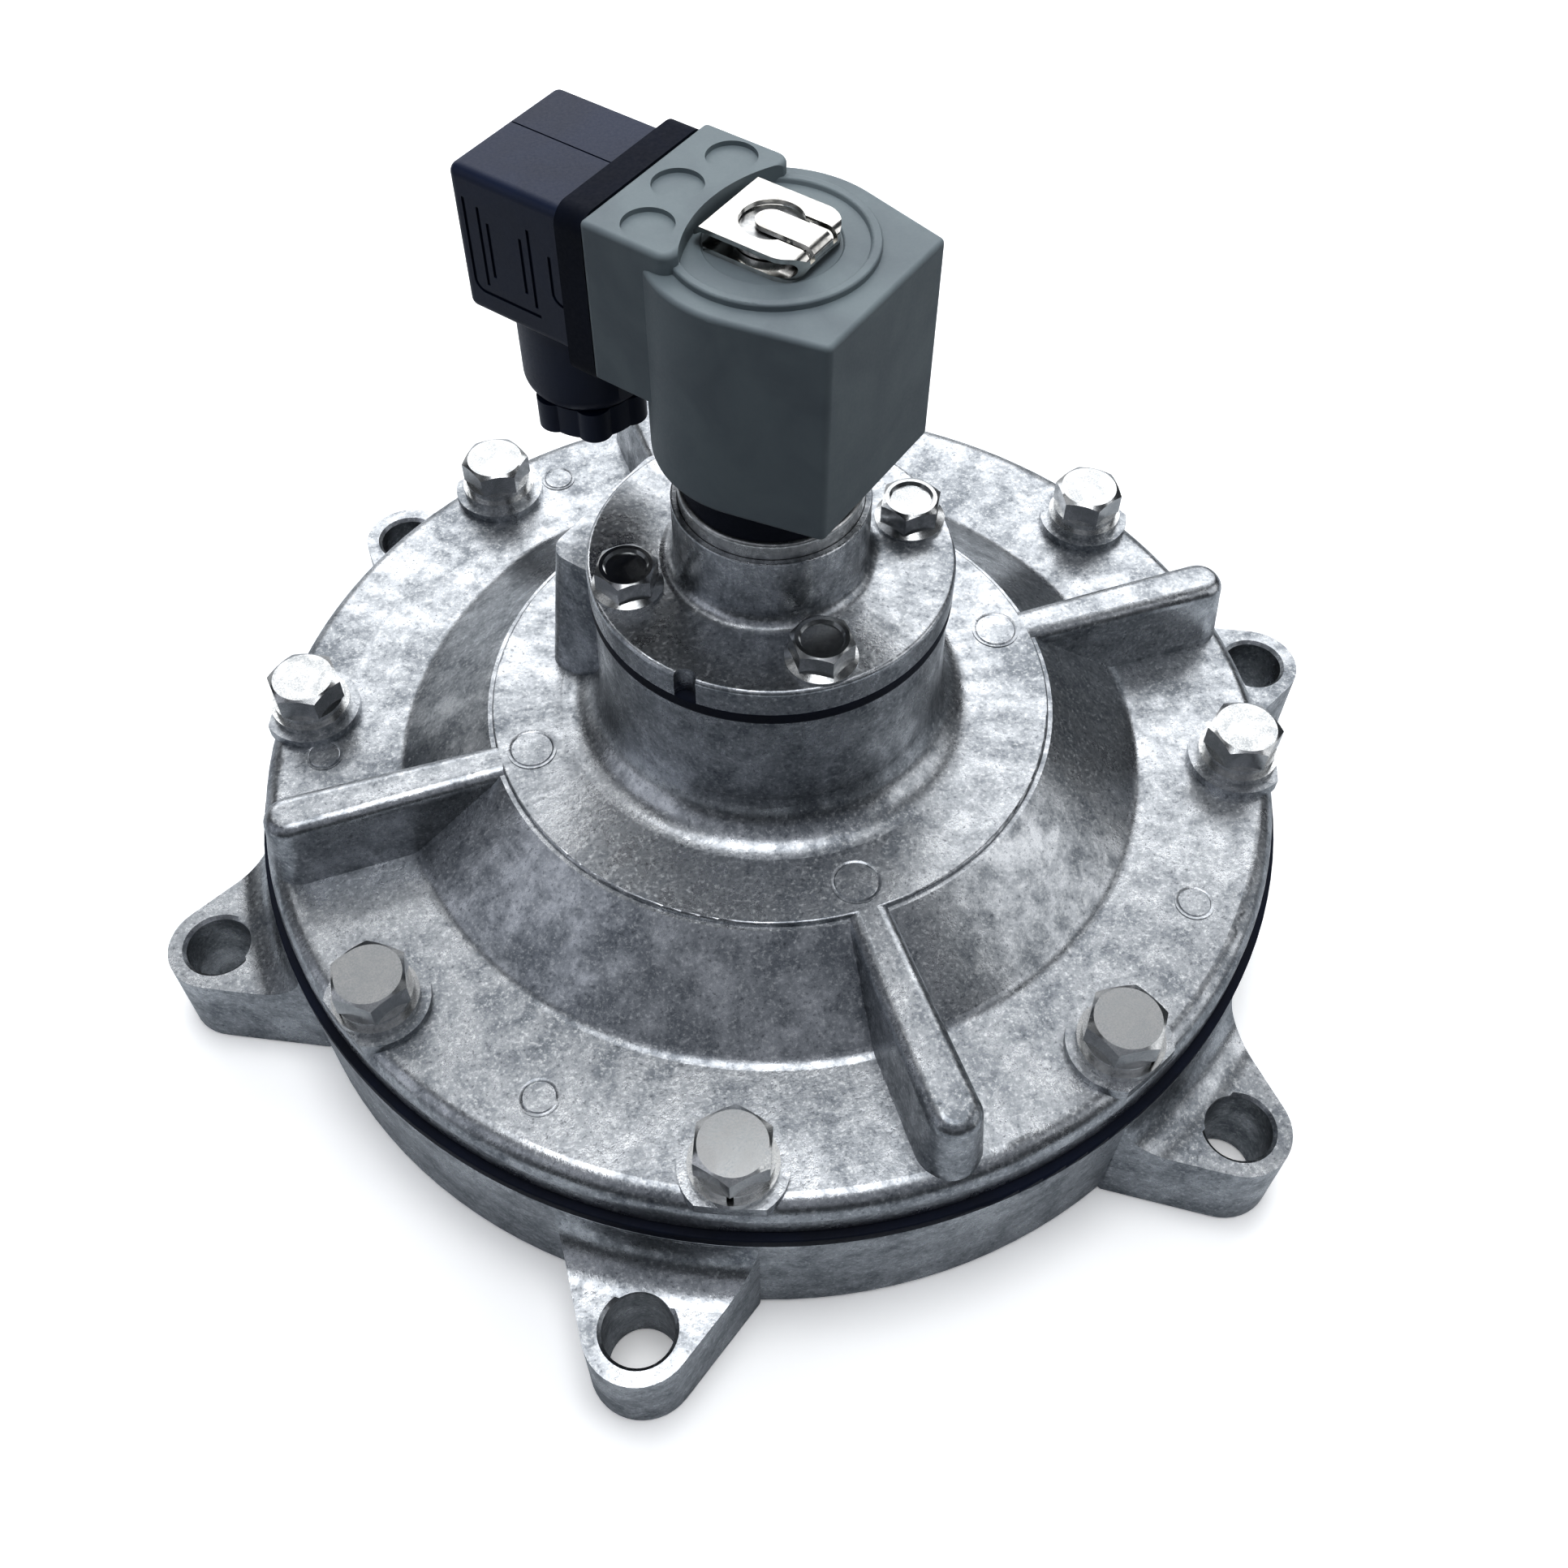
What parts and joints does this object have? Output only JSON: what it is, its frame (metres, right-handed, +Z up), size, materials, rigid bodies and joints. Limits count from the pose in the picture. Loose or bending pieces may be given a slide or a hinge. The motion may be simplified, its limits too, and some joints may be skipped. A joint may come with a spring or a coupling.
{
  "type": "dust collector pulse valve",
  "caption": "Flange-mounted diaphragm pulse valve with a ribbed cast cover, pilot cap, side vent, solenoid coil and plug connector with cable gland.",
  "frame": {"origin": "on the valve axis, in the mounting face that lies on the air tank", "axes": "+Z up along the valve axis, away from the tank; +X along one cover rib and one mounting lug"},
  "size_m": [0.255, 0.2236, 0.1616],
  "materials": {
    "cast_aluminium": "as cast, fine grain",
    "turned_aluminium": "turned",
    "diaphragm_rubber": "fabric-reinforced, matt",
    "seal_rubber": "matt",
    "bolt_steel": "stainless, bright",
    "washer_steel": "stainless, bright",
    "stem_steel": "turned stainless",
    "spring_steel": "drawn wire",
    "terminal_brass": "tinned",
    "coil_plastic": "moulded, satin",
    "connector_plastic": "moulded, satin",
    "gasket_rubber": "matt"
  },
  "bodies": {
    "base": {"valve_body": "cast_aluminium", "mounting_seal": "seal_rubber", "outlet_seal": "seal_rubber", "main_diaphragm": "diaphragm_rubber", "main_spring": "spring_steel", "cover": "cast_aluminium", "cover_bolt_1": "bolt_steel", "cover_bolt_2": "bolt_steel", "cover_bolt_3": "bolt_steel", "cover_bolt_4": "bolt_steel", "cover_bolt_5": "bolt_steel", "cover_bolt_6": "bolt_steel", "cover_bolt_7": "bolt_steel", "cover_bolt_8": "bolt_steel", "cover_spring_washer_1": "washer_steel", "cover_spring_washer_2": "washer_steel", "cover_spring_washer_3": "washer_steel", "cover_spring_washer_4": "washer_steel", "cover_spring_washer_5": "washer_steel", "cover_spring_washer_6": "washer_steel", "cover_spring_washer_7": "washer_steel", "cover_spring_washer_8": "washer_steel", "cover_flat_washer_1": "washer_steel", "cover_flat_washer_2": "washer_steel", "cover_flat_washer_3": "washer_steel", "cover_flat_washer_4": "washer_steel", "cover_flat_washer_5": "washer_steel", "cover_flat_washer_6": "washer_steel", "cover_flat_washer_7": "washer_steel", "cover_flat_washer_8": "washer_steel", "pilot_diaphragm": "diaphragm_rubber", "pilot_spring": "spring_steel", "pilot_cap": "cast_aluminium", "pilot_bolt_1": "bolt_steel", "pilot_bolt_2": "bolt_steel", "pilot_bolt_3": "bolt_steel", "pilot_bolt_4": "bolt_steel", "stem_tube": "stem_steel", "fixed_core": "stem_steel", "plunger_spring": "spring_steel", "coil_seal": "seal_rubber"},
    "main_poppet": {"main_seat_disc": "seal_rubber", "main_retainer_plate": "turned_aluminium", "main_poppet_bolt": "bolt_steel", "main_poppet_nut": "bolt_steel"},
    "pilot_poppet": {"pilot_valve_disc": "turned_aluminium"},
    "plunger": {"plunger": "stem_steel", "plunger_seal": "seal_rubber"},
    "coil": {"coil_housing": "coil_plastic", "coil_terminals": "terminal_brass", "retaining_clip": "stem_steel", "connector_gasket": "gasket_rubber", "connector_housing": "connector_plastic", "terminal_block": "connector_plastic", "gland_nut": "connector_plastic", "gland_seal": "seal_rubber", "connector_screw": "bolt_steel"}
  },
  "joints": [
    {"name": "main_valve_lift", "type": "slide", "parent": "base", "child": "main_poppet", "axis": [0, 0, 1], "range_m": [0, 0.008], "stiffness_N_per_m": 1200, "springref_m": -0.006, "deforming": ["main_diaphragm", "main_spring"]},
    {"name": "pilot_valve_lift", "type": "slide", "parent": "base", "child": "pilot_poppet", "axis": [0, 0, 1], "range_m": [0, 0.003], "stiffness_N_per_m": 300, "springref_m": -0.003, "deforming": ["pilot_diaphragm", "pilot_spring"]},
    {"name": "plunger_lift", "type": "slide", "parent": "base", "child": "plunger", "axis": [0, 0, 1], "range_m": [0, 0.002], "stiffness_N_per_m": 300, "springref_m": -0.003, "deforming": ["plunger_spring"]},
    {"name": "coil_swivel", "type": "hinge", "parent": "base", "child": "coil", "pos_m": [0, 0, 0.12], "axis": [0, 0, 1], "continuous": true}
  ]
}
